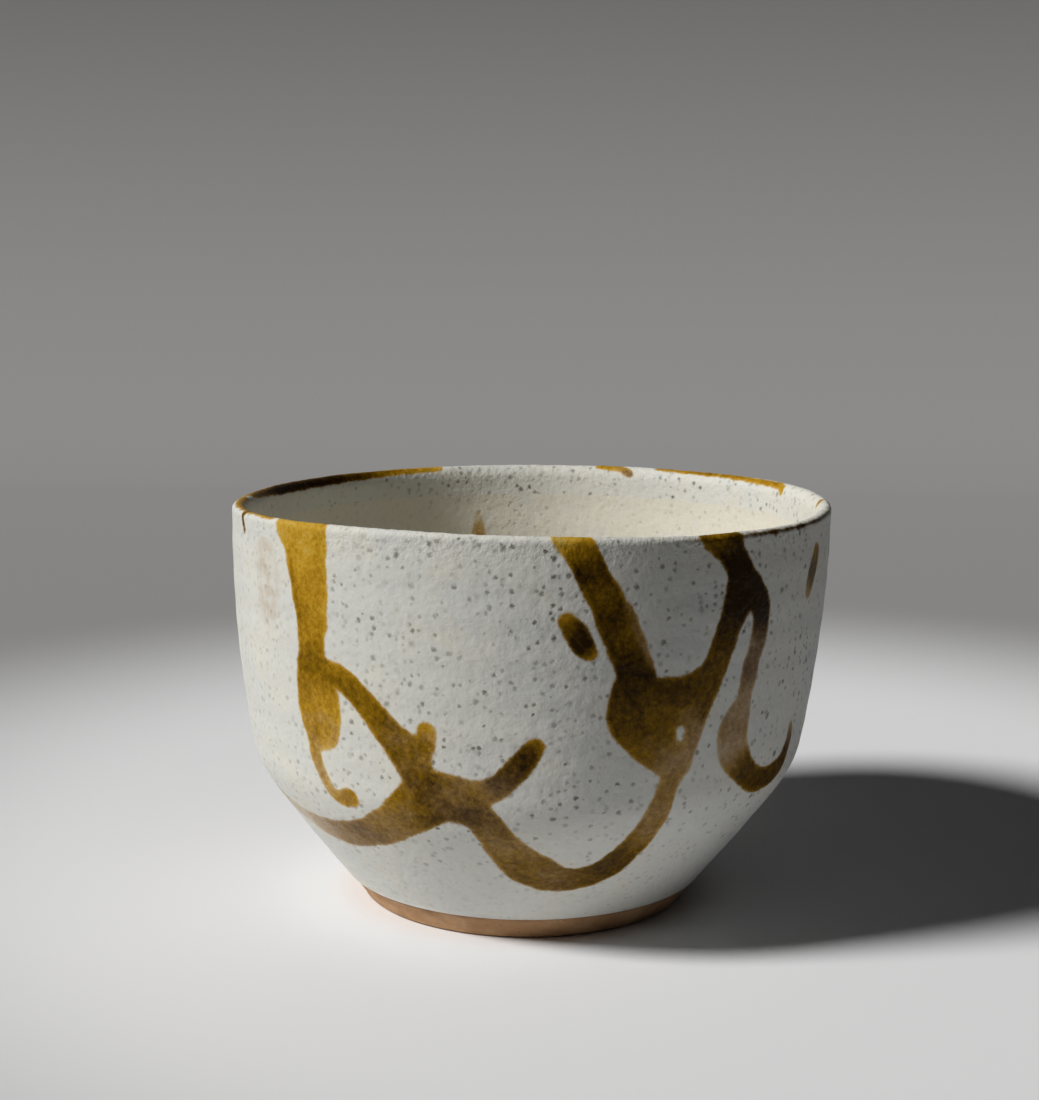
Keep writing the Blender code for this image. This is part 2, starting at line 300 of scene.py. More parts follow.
# Stains on the lip and inside it, two of them deepened with painted shade: (turn, distance over the crest,
# half width, depth, milkiness)
lipTrails = {
    "leftLip": [(-92, -0.5, 0.9, 0.48, 0), (-80, -0.4, 0.9, 0.42, 0), (-66, -0.3, 0.8, 0.38, 0),
                (-54, -0.1, 1.0, 0.32, 0)],
    "farLeftGold": [(-88, 0.1, 0.6, 0.46, 0), (-104, 0.2, 0.5, 0.46, 0), (-122, 0.2, 0.4, 0.44, 0),
                    (-138, 0.1, 0.4, 0.40, 0)],
    # Amber inside the far left lip, deepened towards black as painted shade where the lip faces away from
    # the light
    "farLeftLipStainAndShade": [(-97, -0.7, 0.9, 0.66, 0), (-104, -1.0, 1.3, 0.86, 0), (-112, -1.2, 1.5, 0.98, 0),
                   (-122, -1.2, 1.6, 1.0, 0), (-132, -1.1, 1.5, 0.96, 0), (-139, -1.0, 1.4, 0.78, 0),
                   (-146, -0.9, 1.3, 0.50, 0), (-153, -0.8, 1.2, 0.40, 0), (-158, -0.7, 1.0, 0.28, 0.1)],
    "farRightSpots": [(164, -0.6, 1.0, 0.36, 0.2), (160, -0.8, 1.1, 0.40, 0.2),
                      (156.5, -2.2, 0.9, 0.66, 0.6)],
    "farRightLip": [(150, -0.5, 0.7, 0.50, 0.1), (138, -0.7, 0.8, 0.52, 0), (124, -0.9, 0.9, 0.50, 0),
                    (113, -1.1, 1.0, 0.46, 0)],
    "farRightDrip": [(111, -1.6, 0.9, 0.44, 0), (110.5, -2.5, 0.7, 0.40, 0.1)],
    "rightLip": [(88, -0.4, 0.6, 0.40, 0.3), (86, -1.6, 0.8, 0.40, 0.5)],
    # Under the near right lip, with its notches: pooled dark glaze, deepened as painted shade where the
    # lip's outer rounding turns away from the light
    "rightEdgePoolAndShade": [(26, 1.2, 0.10, 0.70, 0.5), (34, 1.1, 0.28, 0.86, 0.4), (44, 1.0, 0.36, 0.96, 0.3),
                  (56, 1.0, 0.44, 1.0, 0.3), (66, 1.0, 0.36, 0.94, 0.4), (76, 0.9, 0.16, 0.8, 0.5)],
    "edgeNotches": [(47, 1.3, 0.4, 1.0, 0.3), (47.3, 2.0, 0.2, 0.9, 0.4)],
    "edgeNotchesRight": [(55, 1.4, 0.4, 1.0, 0.3), (55.5, 2.3, 0.2, 0.9, 0.4)],
    "middleInside": [(6, -0.8, 2.9, 0.26, 0), (5.2, -3.5, 2.0, 0.34, 0), (5, -6.5, 1.2, 0.34, 0)],
    "leftInside": [(-45, -1.2, 5.6, 0.26, 0), (-46, -6, 3.4, 0.40, 0.1), (-46.5, -11, 2.2, 0.44, 0.2),
                   (-46, -15, 1.2, 0.40, 0.3)],
    "rightInside": [(33.6, -0.9, 3.4, 0.30, 0), (33.4, -5, 2.0, 0.46, 0), (33.2, -9, 1.1, 0.40, 0.2)],
    "farDrip": [(-167.6, -11, 0.7, 0.14, 0.9), (-167.6, -14, 1.3, 0.30, 0.7),
                (-167.8, -17.5, 1.9, 0.42, 0.5), (-168, -21, 1.3, 0.46, 0.4)],
}

# A bare spot left in the pool, and a faint beige smudge where a trail was wiped away
bareSpots = {"poolSpot": [(28, 42, 0.6, 1, 0), (28.2, 40.7, 0.5, 1, 0)]}
smudges = {"leftSmudge": [(-55.3, 68, 1.6, 1, 0), (-54.4, 63.5, 2.4, 1, 0), (-54.6, 59, 1.8, 1, 0)]}

trailFlow = {
    "sampleSpacing": 0.4,
    "reach": 9.0,
    "margin": 4.0,  # added to the reach for a run's own width
    "narrowestTurn": 25.0,  # the radius that turns are measured at when a run's surroundings are picked
    "webbing": 0.35,  # how far two runs fill in the corner between them
    "blendOver": 0.9,
    "blendWithin": 1.5,
    "smallestRadius": 4.0,
    "smudgeFade": 2.5,
    "pointsAtOnce": 20000,
}


# A run's points joined by a smooth curve: distance over the lip, turn, half width, depth, milkiness
def smoothRun(run, fromHeight):
    knots = np.array(run, float)
    knots[:, 0] = np.unwrap(np.radians(knots[:, 0]))
    if fromHeight:
        knots[:, 1] = overAtHeight(knots[:, 1])
    ends = np.concatenate([[2 * knots[0] - knots[1]], knots, [2 * knots[-1] - knots[-2]]])
    rows = []
    for index in range(1, len(ends) - 2):
        before, start, end, after = ends[index - 1:index + 3]
        length = math.hypot(end[1] - start[1], rimRadius * (end[0] - start[0]))
        count = max(2, int(length / trailFlow["sampleSpacing"]))
        for share in np.arange(count) / count:
            rows.append(0.5 * (2 * start + (end - before) * share
                               + (2 * before - 5 * start + 4 * end - after) * share**2
                               + (3 * start - before - 3 * end + after) * share**3))
    rows.append(knots[-1])
    turn, over, width, depth, milk = np.array(rows).T
    return over, turn, np.maximum(width, 0.1), depth, milk


# Distance from each surface point to the edge of a run, negative in it, with the depth and milkiness there
def distanceToRun(over, turn, radius, run, fromHeight):
    runOver, runTurn, runWidth, runDepth, runMilk = smoothRun(run, fromHeight)
    reach = trailFlow["reach"]
    around = reach + trailFlow["margin"]
    distance = np.full(len(over), reach)
    depth, milk = np.zeros(len(over)), np.zeros(len(over))
    middleTurn = (runTurn.min() + runTurn.max()) / 2
    spread = (runTurn.max() - runTurn.min()) / 2 + around / trailFlow["narrowestTurn"]
    offset = (turn - middleTurn + math.pi) % math.tau - math.pi
    near = (over > runOver.min() - around) & (over < runOver.max() + around) & (np.abs(offset) < spread)
    picked = np.flatnonzero(near)
    for part in np.array_split(picked, max(1, len(picked) // trailFlow["pointsAtOnce"])):
        across = offset[part, None] - (runTurn - middleTurn)[None, :]
        gap = np.hypot(over[part, None] - runOver[None, :], across * radius[part, None]) - runWidth[None, :]
        best = gap.argmin(1)
        distance[part] = np.minimum(gap[np.arange(len(part)), best], reach)
        depth[part], milk[part] = runDepth[best], runMilk[best]
    return distance, depth, milk


# Joins the runs as liquid glaze does, and gives the distance to the edge in mm, the depth and the milkiness
def flowTogether(over, turn, radius, groups):
    total, depths, milks, joined = (np.zeros(len(over)) for _ in range(4))
    reach, webbing = trailFlow["reach"], trailFlow["webbing"]
    for runs, fromHeight in groups:
        for run in runs.values():
            distance, depth, milk = distanceToRun(over, turn, radius, run, fromHeight)
            joined += np.where(distance < reach, np.exp(-distance / webbing), 0)
            share = np.exp(-np.clip(distance, -trailFlow["blendWithin"], None) / trailFlow["blendOver"])
            total += share
            depths += share * depth
            milks += share * milk
    edge = -webbing * np.log(np.maximum(joined, math.exp(-reach / webbing)))
    return edge, depths / total, milks / total


def distanceToAny(over, turn, radius, runs):
    found = [distanceToRun(over, turn, radius, run, True)[0] for run in runs.values()]
    return np.minimum.reduce(found)


mergeDistance = 0.00001


def addObject(name, data):
    made = bpy.data.objects.new(name, data)
    bpy.context.scene.collection.objects.link(made)
    return made


def meshObject(name, shape, material):
    bmesh.ops.recalc_face_normals(shape, faces=shape.faces)
    for face in shape.faces:
        face.smooth = True
    mesh = bpy.data.meshes.new(name)
    shape.to_mesh(mesh)
    shape.free()
    mesh.materials.append(material)
    return addObject(name, mesh)


# Spins a closed section about the Z axis. Each vertex keeps its place on the section in a layer
def spinSection(name, points, overs, steps, material, folds=()):
    shape = bmesh.new()
    overLayer = shape.verts.layers.float.new("over")
    verts = []
    for (radius, height), over in zip(points, overs):
        vert = shape.verts.new((max(radius, 0) * mm, 0, height * mm))
        vert[overLayer] = over
        verts.append(vert)
    closed = points[0][0] > 0.01
    pairs = list(zip(verts, verts[1:])) + ([(verts[-1], verts[0])] if closed else [])
    edges = [shape.edges.new(pair) for pair in pairs]
    bmesh.ops.spin(shape, geom=verts + edges, cent=(0, 0, 0), axis=(0, 0, 1), dvec=(0, 0, 0),
                   angle=math.tau, steps=steps, use_merge=True, use_duplicate=False)
    bmesh.ops.remove_doubles(shape, verts=shape.verts, dist=mergeDistance)
    for edge in shape.edges:
        edge.smooth = not any(all(abs(vert[overLayer] - fold) < 0.001 for vert in edge.verts)
                              for fold in folds)
    return meshObject(name, shape, material)


def readAll(items, field, width=1, kind=float):
    values = np.empty(len(items) * width, kind)
    items.foreach_get(field, values)
    return values.reshape(-1, width) if width > 1 else values


def placesOver(mesh):
    return readAll(mesh.attributes["over"].data, "value")


def setVertexFloats(mesh, name, values):
    attribute = mesh.attributes.new(name, "FLOAT", "POINT")
    attribute.data.foreach_set("value", np.asarray(values, np.float32))


def turnOf(points):
    return np.arctan2(points[:, 0], -points[:, 1])


glazeRelief = {
    "size": 3.2,
    "height": 0.035,
    "broadSize": 14.0,
    "broadHeight": 0.10,
    "rimSize": 1.1,
    "rimHeight": 0.10,
    "rimMiddle": 0.8,  # a little outside the lip's crest
    "rimReach": 3.0,
    "calmRadius": 3.0,  # nearer the axis than this the relief fades out
}


# Gives an even, turned piece its thrown shape and, up to the given place on its section, a low glaze relief
def finishSurface(piece, reliefUntil):
    mesh = piece.data
    points = readAll(mesh.vertices, "co", 3) / mm
    over = placesOver(mesh)
    relief = glazeRelief
    heights = np.zeros(len(points))
    for index in np.flatnonzero(over <= reliefUntil):
        place = Vector(points[index])
        heights[index] = (relief["height"] * noise.noise(place / relief["size"])
                          + relief["broadHeight"] * noise.noise(place / relief["broadSize"]))
        nearRim = 1 - abs(over[index] - relief["rimMiddle"]) / relief["rimReach"]
        if nearRim > 0:
            heights[index] += relief["rimHeight"] * nearRim * noise.noise(place / relief["rimSize"])
    outward = -inwardNormals(glazedSection)
    lift = [np.interp(over, sectionOver, outward[:, axis]) * heights for axis in (0, 1)]
    radius = np.maximum(np.hypot(points[:, 0], points[:, 1]), 0.001)
    spread = lift[0] / radius * np.clip(radius / relief["calmRadius"], 0, 1)
    points[:, 0] += points[:, 0] * spread
    points[:, 1] += points[:, 1] * spread
    points[:, 2] += lift[1]
    mesh.vertices.foreach_set("co", (thrown(points) * mm).ravel())
    mesh.update()


# Works out the trails at each vertex of an even, turned piece
def addTrails(piece, groups):
    mesh = piece.data
    points = readAll(mesh.vertices, "co", 3) / mm
    over = placesOver(mesh)
    turn = turnOf(points)
    radius = np.maximum(np.hypot(points[:, 0], points[:, 1]), trailFlow["smallestRadius"])
    edge, depth, milk = flowTogether(over, turn, radius, groups)
    edge = np.maximum(edge, -distanceToAny(over, turn, radius, bareSpots))
    setVertexFloats(mesh, "trailEdge", edge)
    setVertexFloats(mesh, "trailDepth", depth)
    setVertexFloats(mesh, "trailMilk", milk)
    away = distanceToAny(over, turn, radius, smudges) / trailFlow["smudgeFade"]
    setVertexFloats(mesh, "smudge", np.clip(1 - away, 0, 1))


closing = {"span": 20.0, "strip": 0.2}


# A UV map of the piece's own: place gives (u, v) for a turn, distance over the lip and face turn.
# Faces that close the ring span most of the section, so they go in a narrow strip of their own.
def addBakeMap(piece, place):
    mesh = piece.data
    points = readAll(mesh.vertices, "co", 3)
    over = placesOver(mesh)
    loops = readAll(mesh.loops, "vertex_index", kind=int)
    counts = readAll(mesh.polygons, "loop_total", kind=int)
    starts = np.append(0, np.cumsum(counts)[:-1])
    faceTurn = np.repeat(turnOf(readAll(mesh.polygons, "center", 3)), counts)
    onAxis = np.hypot(points[:, 0], points[:, 1])[loops] < mergeDistance
    turn = np.where(onAxis, faceTurn, turnOf(points)[loops])
    turn = faceTurn + (turn - faceTurn + math.pi) % math.tau - math.pi
    loopOver = over[loops]
    highest = np.repeat(np.maximum.reduceat(loopOver, starts), counts)
    lowest = np.repeat(np.minimum.reduceat(loopOver, starts), counts)
    farEnd = (highest - lowest > closing["span"]) & (loopOver == lowest)
    loopOver = np.where(farEnd, highest + closing["strip"], loopOver)
    layer = mesh.uv_layers.new(name="OFBake")
    layer.data.foreach_set("uv", np.stack(place(turn, loopOver, faceTurn), 1).ravel().astype(np.float32))


# A short way to write a material's nodes
class Nodes:
    def __init__(self, name):
        self.material = bpy.data.materials.new(name)
        self.material.use_nodes = True
        self.tree = self.material.node_tree
        self.shader = self.tree.nodes["Principled BSDF"]

    def surface(self, name, value):
        self.put(self.shader.inputs[name], value)

    def add(self, kind, **values):
        node = self.tree.nodes.new(kind)
        for key, value in values.items():
            setattr(node, key, value)
        return node

    def put(self, socket, value):
        if isinstance(value, bpy.types.NodeSocket):
            self.tree.links.new(value, socket)
        else:
            socket.default_value = value

    def coordinates(self):
        return self.add("ShaderNodeTexCoord").outputs["Object"]

    def axes(self):
        node = self.add("ShaderNodeSeparateXYZ")
        self.put(node.inputs[0], self.coordinates())
        return node.outputs

    def attribute(self, name):
        return self.add("ShaderNodeAttribute", attribute_name=name).outputs["Fac"]

    def math(self, operation, first, second):
        node = self.add("ShaderNodeMath", operation=operation)
        self.put(node.inputs[0], first)
        self.put(node.inputs[1], second)
        return node.outputs[0]

    def times(self, first, second):
        return self.math("MULTIPLY", first, second)

    def plus(self, first, second):
        return self.math("ADD", first, second)

    def between(self, value, fromLow, fromHigh, toLow=0.0, toHigh=1.0, smooth=True):
        node = self.add("ShaderNodeMapRange", interpolation_type="SMOOTHSTEP" if smooth else "LINEAR")
        for socket, given in zip(node.inputs, (value, fromLow, fromHigh, toLow, toHigh)):
            self.put(socket, given)
        return node.outputs[0]

    # Noise with features of a size in mm. The shift keeps one pattern from lying over another
    def noise(self, featureSize, detail=3.0, roughness=0.5, shift=0.0):
        place = self.add("ShaderNodeMapping")
        place.inputs["Location"].default_value = (shift, shift * 0.7, -shift)
        self.put(place.inputs["Vector"], self.coordinates())
        node = self.add("ShaderNodeTexNoise")
        self.put(node.inputs["Vector"], place.outputs[0])
        node.inputs["Scale"].default_value = 1 / (featureSize * mm)
        node.inputs["Detail"].default_value = detail
        node.inputs["Roughness"].default_value = roughness
        return node.outputs["Fac"]

    # Noise spread evenly over a range: the span gives two noise values and what they become
    def uneven(self, featureSize, span, detail, roughness, shift):
        return self.between(self.noise(featureSize, detail, roughness, shift), *span, smooth=False)

    def mix(self, share, first, second):
        node = self.add("ShaderNodeMix", data_type="RGBA")
        self.put(node.inputs[0], share)
        self.put(node.inputs[6], first)
        self.put(node.inputs[7], second)
        return node.outputs[2]

    def ramp(self, value, stops):
        node = self.add("ShaderNodeValToRGB")
        elements = node.color_ramp.elements
        while len(elements) > 1:
            elements.remove(elements[-1])
        elements[0].position, elements[0].color = stops[0][0], (*stops[0][1], 1)
        for position, colour in stops[1:]:
            elements.new(position).color = (*colour, 1)
        self.put(node.inputs[0], value)
        return node.outputs[0]

    def bump(self, height, distance, normal=None):
        node = self.add("ShaderNodeBump")
        self.put(node.inputs["Height"], height)
        node.inputs["Distance"].default_value = distance * mm
        if normal is not None:
            self.put(node.inputs["Normal"], normal)
        return node.outputs[0]

    # Round iron specks: a share of the cells of a Voronoi pattern, each with its own size and strength
    def specks(self, spacing, largest, share, softness, shift):
        wobble = self.add("ShaderNodeTexNoise")
        wobble.inputs["Scale"].default_value = 1 / (speckShape["wobbleSize"] * mm)
        self.put(wobble.inputs["Vector"], self.coordinates())
        moved = self.add("ShaderNodeVectorMath", operation="MULTIPLY_ADD")
        self.put(moved.inputs[0], wobble.outputs["Color"])
        moved.inputs[1].default_value = (speckShape["wobble"] * mm,) * 3
        self.put(moved.inputs[2], self.coordinates())
        place = self.add("ShaderNodeMapping")
        place.inputs["Location"].default_value = (shift, -shift, shift * 0.3)
        self.put(place.inputs["Vector"], moved.outputs[0])
        cells = self.add("ShaderNodeTexVoronoi")
        self.put(cells.inputs["Vector"], place.outputs[0])
        cells.inputs["Scale"].default_value = 1 / (spacing * mm)
        chances = self.add("ShaderNodeSeparateColor")
        self.put(chances.inputs[0], cells.outputs["Color"])
        size = self.between(chances.outputs[0], 1 - share, 1, speckShape["smallest"], 1, smooth=False)
        there = self.math("GREATER_THAN", chances.outputs[0], 1 - share)
        reach = self.times(size, largest / spacing)
        inside = self.math("DIVIDE", cells.outputs["Distance"], reach)
        disc = self.between(inside, 1 - softness, 1, 1, 0)
        strength = self.between(chances.outputs[1], 0, 1, speckShape["faintest"], 1, smooth=False)
        strength = self.math("POWER", strength, speckShape["contrast"])
        return self.times(self.times(disc, there), strength)


speckShape = {
    "wobbleSize": 0.55,
    "wobble": 0.62,
    "smallest": 0.62,  # a share of the largest
    "faintest": 0.4,
    "contrast": 1.4,
}


def opaque(colour):
    return (*colour, 1)


glazeLook = {
    "white": (0.70, 0.695, 0.645),
    "whiteCool": (0.66, 0.665, 0.635),
    "whiteWarm": (0.72, 0.685, 0.59),
    "cloudSize": 22,
    "warmSize": 7,
    "warmFrom": (0.45, 0.75),
    "warmMost": 0.6,
    "grainSize": 0.9,
    "grain": (0.25, 0.75, 0.95, 1.03),
    # Specks: spacing, largest radius, share of the places that have one, softness, shift of the pattern
    "smallSpecks": (1.3, 0.68, 0.50, 0.75, 0.11),
    "largeSpecks": (2.1, 0.86, 0.45, 0.75, 0.73),
    "faintSpecks": (1.7, 0.75, 0.50, 0.90, 0.37),
    "speck": (0.10, 0.090, 0.065),
    "speckDarkness": 0.90,
    "paleSpeck": (0.40, 0.385, 0.335),
    "paleDarkness": 0.42,
    "gatherSize": 11,
    "gather": (0.30, 0.60, 0.55, 1),
    "fewerBelow": (8 * mm, 26 * mm, 0.25, 1),
    "fewerLeft": (-52 * mm, -12 * mm, 0.35, 1),
    "smudge": (0.52, 0.43, 0.33),
    "smudgeSize": 2.2,
    "smudgePatches": (0.35, 0.65, 0.1, 0.62),
    # Trails: how far the edge wavers and frays, in mm, and how the glaze thins and mottles
    "waverSize": 2.6,
    "waver": (0.2, 0.8, -0.30, 0.30),
    "fraySize": 0.75,
    "fray": (0.2, 0.8, -0.11, 0.11),
    "softEdge": (-0.34, 0.24, 1, 0),
    "thinToEdge": (-1.0, 0.2, 1.08, 0.66),
    "mottleSize": 0.95,
    "mottle": (0.25, 0.75, -0.15, 0.15),
    "patchSize": 4.5,
    "patches": (0.3, 0.7, -0.07, 0.07),
    "veilSize": 3.2,
    "veil": (0.3, 0.7, -0.18, 0.18),
    "milkShare": (0.18, 1.0, 0, 0.9),
    "whiteRoughness": (0.42, 0.60),
    "trailRoughness": (0.26, 0.42),
    "shine": 0.06,
    # Bump: feature size and height
    "peel": (1.6, 0.14),
    "fineGrain": (0.40, 0.022),
    "rimGrain": (0.95, 0.20),
    "rimGrainFrom": (67 * mm, 72.5 * mm),
    "speckPits": 0.06,
    # Colours of the amber glaze and of where white shows through it, from thin to deep
    "amberColours": (
        (0.00, (0.64, 0.54, 0.28)),
        (0.15, (0.56, 0.37, 0.08)),
        (0.30, (0.51, 0.295, 0.024)),
        (0.45, (0.37, 0.194, 0.010)),
        (0.60, (0.232, 0.121, 0.002)),
        (0.80, (0.100, 0.049, 0.001)),
        (1.00, (0.024, 0.010, 0.001)),
    ),
    "milkColours": (
        (0.00, (0.67, 0.64, 0.56)),
        (0.25, (0.53, 0.43, 0.31)),
        (0.50, (0.36, 0.255, 0.155)),
        (0.75, (0.20, 0.125, 0.068)),
        (1.00, (0.075, 0.038, 0.018)),
    ),
}


# White speckled glaze, with the amber trails where the piece's attributes have them
def glazeMaterial(name, speckStrength, warmth):
    nodes = Nodes(name)
    look = glazeLook
    across, _, height = nodes.axes()

    clouds = nodes.between(nodes.noise(look["cloudSize"], 2, shift=0.3), 0.35, 0.65)
    colour = nodes.mix(clouds, opaque(look["whiteCool"]), opaque(look["white"]))
    warmFrom, warmTo = look["warmFrom"]
    warmed = nodes.between(nodes.noise(look["warmSize"], 4, 0.6, shift=0.7),
                           warmFrom - warmth, warmTo - warmth, 0, look["warmMost"] + warmth)
    colour = nodes.mix(warmed, colour, opaque(look["whiteWarm"]))
    grain = nodes.uneven(look["grainSize"], look["grain"], 3, 0.6, 0.1)
    shade = nodes.add("ShaderNodeVectorMath", operation="SCALE")
    nodes.put(shade.inputs[0], colour)
    nodes.put(shade.inputs["Scale"], grain)
    colour = shade.outputs[0]

    # A faint smudge, then iron specks: pale ones under dark ones that gather here and there
    gathered = nodes.between(nodes.noise(look["gatherSize"], 2, shift=1.9), *look["gather"])
    gathered = nodes.times(gathered, nodes.between(height, *look["fewerBelow"]))
    gathered = nodes.times(gathered, nodes.between(across, *look["fewerLeft"]))
    dark = nodes.math("MAXIMUM", nodes.specks(*look["smallSpecks"]), nodes.specks(*look["largeSpecks"]))
    dark = nodes.times(dark, gathered)
    pale = nodes.specks(*look["faintSpecks"])
    smudged = nodes.between(nodes.noise(look["smudgeSize"], 3, shift=2.2), *look["smudgePatches"])
    smudged = nodes.times(nodes.attribute("smudge"), smudged)
    colour = nodes.mix(smudged, colour, opaque(look["smudge"]))
    pale = nodes.times(pale, look["paleDarkness"] * speckStrength)
    colour = nodes.mix(pale, colour, opaque(look["paleSpeck"]))
    darkest = nodes.times(dark, look["speckDarkness"] * speckStrength)
    colour = nodes.mix(darkest, colour, opaque(look["speck"]))

    # Trails: an uneven edge, thinner along it, deeper and mottled within
    waver = nodes.uneven(look["waverSize"], look["waver"], 3, 0.55, 3.1)
    fray = nodes.uneven(look["fraySize"], look["fray"], 2, 0.6, 3.9)
    edge = nodes.plus(nodes.plus(nodes.attribute("trailEdge"), waver), fray)
    inTrail = nodes.between(edge, *look["softEdge"])
    mottle = nodes.uneven(look["mottleSize"], look["mottle"], 3, 0.7, 4.4)
    patches = nodes.uneven(look["patchSize"], look["patches"], 3, 0.5, 5.2)
    depth = nodes.plus(nodes.attribute("trailDepth"), nodes.plus(mottle, patches))
    depth = nodes.times(depth, nodes.between(edge, *look["thinToEdge"]))
    veil = nodes.uneven(look["veilSize"], look["veil"], 3, 0.6, 5.7)
    veil = nodes.plus(nodes.attribute("trailMilk"), veil)
    milky = nodes.between(veil, *look["milkShare"], smooth=False)
    amber, milk = nodes.ramp(depth, look["amberColours"]), nodes.ramp(depth, look["milkColours"])
    trail = nodes.mix(milky, amber, milk)
    nodes.surface("Base Color", nodes.mix(inTrail, colour, trail))

    satin = nodes.between(nodes.noise(3.0, 3, shift=6.1), 0.3, 0.7, *look["whiteRoughness"])
    glossy = nodes.between(nodes.noise(2.0, 3, shift=6.6), 0.3, 0.7, *look["trailRoughness"])
    nodes.surface("Roughness", nodes.mix(inTrail, satin, glossy))
    nodes.surface("Specular IOR Level", look["shine"])

    peelSize, peelHeight = look["peel"]
    fineSize, fineHeight = look["fineGrain"]
    rimSize, rimGrainHeight = look["rimGrain"]
    nearRim = nodes.between(height, *look["rimGrainFrom"])
    rimGrain = nodes.times(nodes.noise(rimSize, 2, 0.6, shift=8.4), nearRim)
    normal = nodes.bump(nodes.noise(peelSize, 2, 0.5, shift=7.3), peelHeight)
    normal = nodes.bump(nodes.noise(fineSize, 2, 0.5, shift=7.9), fineHeight, normal)
    normal = nodes.bump(rimGrain, rimGrainHeight, normal)
    normal = nodes.bump(nodes.times(dark, -1.0), look["speckPits"], normal)
    nodes.surface("Normal", normal)
    return nodes.material


clayLook = {
    "tan": (0.50, 0.30, 0.150),
    "brown": (0.38, 0.205, 0.088),
    "cloudSize": 5,
    "toasted": (0.20, 0.095, 0.040),
    "toastedShare": 0.7,
    "toastedFrom": 3.5,
    "toastedFully": 4.6,
    "toastedWaver": (0.2, 0.8, -0.5 * mm, 0.5 * mm),
    "grit": (1.1, 0.30, 0.4, 0.5, 0.61),
    "gritDarkness": 0.6,
    "speck": (0.07, 0.045, 0.03),
    "roughness": (0.72, 0.88),
    "roughGrain": (0.5, 0.08),
    "turningMarks": 1.6,
    "markDepth": 0.05,
    "markWander": 1.5,
    "markDetail": 40,
}
waveSpacing = 0.314  # a wave texture of scale 1 has a ring every 0.314 m


# Bare stoneware, toasted brown in a line under the glaze
def clayMaterial():
    nodes = Nodes("bare_clay")
    look = clayLook
    clouds = nodes.between(nodes.noise(look["cloudSize"], 4, 0.6, shift=0.4), 0.35, 0.65)
    colour = nodes.mix(clouds, opaque(look["tan"]), opaque(look["brown"]))
    height = nodes.plus(nodes.axes()[2], nodes.uneven(3, look["toastedWaver"], 3, 0.5, 1.2))
    nearGlaze = nodes.between(height, look["toastedFrom"] * mm, look["toastedFully"] * mm)
    toasted = nodes.times(nearGlaze, look["toastedShare"])
    colour = nodes.mix(toasted, colour, opaque(look["toasted"]))
    grit = nodes.times(nodes.specks(*look["grit"]), look["gritDarkness"])
    colour = nodes.mix(grit, colour, opaque(look["speck"]))
    nodes.surface("Base Color", colour)
    roughness = nodes.between(nodes.noise(2, 3, shift=2.1), 0.3, 0.7, *look["roughness"])
    nodes.surface("Roughness", roughness)

    grainSize, grainHeight = look["roughGrain"]
    turned = nodes.add("ShaderNodeTexWave", wave_type="RINGS", rings_direction="Z")
    nodes.put(turned.inputs["Vector"], nodes.coordinates())
    turned.inputs["Scale"].default_value = waveSpacing / (look["turningMarks"] * mm)
    turned.inputs["Distortion"].default_value = look["markWander"]
    turned.inputs["Detail Scale"].default_value = look["markDetail"]
    normal = nodes.bump(nodes.noise(grainSize, 4, 0.7, shift=2.9), grainHeight)
    normal = nodes.bump(turned.outputs["Fac"], look["markDepth"], normal)
    nodes.surface("Normal", normal)
    return nodes.material


# Glaze outside: from just inside the lip, over it, and down to a rounded edge above the foot
outsideCoat = {
    "startOver": -7.0,
    "spacing": 0.56,
    "lipSpacing": 0.30,
    "lipReach": 3.2,
    "thickness": 0.6,
    "beadRadius": 0.42,
    "beadPoints": 6,
    "beadStep": 0.2,
    "backPoints": 10,
    "backFrom": 2.0,  # places over the lip for the hidden back, past every visible one
    "backStep": 0.1,
    "mapEnd": 3.5,
    "steps": 512,
}


# The rounded lower edge, from the wall round to the clay
def beadPoints(coat):
    low = pointOver(np.array([overOutsideEnd]))[0]
    centre = low - (coat["beadRadius"], 0)
    return arcPoints(centre, coat["beadRadius"], 0, -150, coat["beadPoints"])[1:]


# The hidden back of a coat, under its front, as fewer points that go the other way
def backPoints(front, last, coat):
    index = np.linspace(last, 0, coat["backPoints"]).astype(int)
    return front[index] - inwardNormals(front)[index] * coat["thickness"]


def makeOutsideGlaze(material):
    coat = outsideCoat
    reach = coat["lipReach"]
    overs = np.concatenate([
        np.arange(coat["startOver"], -reach, coat["spacing"]),
        np.arange(-reach, reach, coat["lipSpacing"]),
        np.arange(reach, overOutsideEnd, coat["spacing"]),
        [overOutsideEnd],
    ])
    front = pointOver(overs)
    bead = beadPoints(coat)
    back = backPoints(front, len(front) - 3, coat)
    points = np.concatenate([front, bead, back])
    beadOver = overOutsideEnd + np.arange(1, len(bead) + 1) * coat["beadStep"]
    backOver = overOutsideEnd + coat["backFrom"] + np.arange(len(back)) * coat["backStep"]
    pathOver = np.concatenate([overs, beadOver, backOver])
    piece = spinSection("outside_glaze", points, pathOver, coat["steps"], material, [coat["startOver"]])
    addTrails(piece, [(outsideTrails, True), (lipTrails, False)])
    start, end = coat["startOver"], overOutsideEnd + coat["mapEnd"]

    # Two strips, each half of the way round
    def place(turn, over, faceTurn):
        strip = (faceTurn > 0).astype(float)
        u = 0.01 + 0.98 * (turn / math.pi + 1 - strip)
        v = 0.005 + 0.5 * strip + 0.49 * (over - start) / (end - start)
        return u, v

    addBakeMap(piece, place)
    finishSurface(piece, overOutsideEnd)
    return piece


# Glaze inside: the well and the wall, up to where the outside coat comes over the lip
insideCoat = {
    "spacing": 0.85,
    "thickness": 0.6,
    "backPoints": 24,
    "backFrom": 1.0,
    "backStep": 0.1,
    "mapEnd": 4.0,
    "steps": 512,
}


# Runs round a disc, as a share of its width, from the middle out
def onDisc(turn, share):
    reach = 0.49 * share
    return 0.5 + reach * np.sin(turn), 0.5 + reach * np.cos(turn)


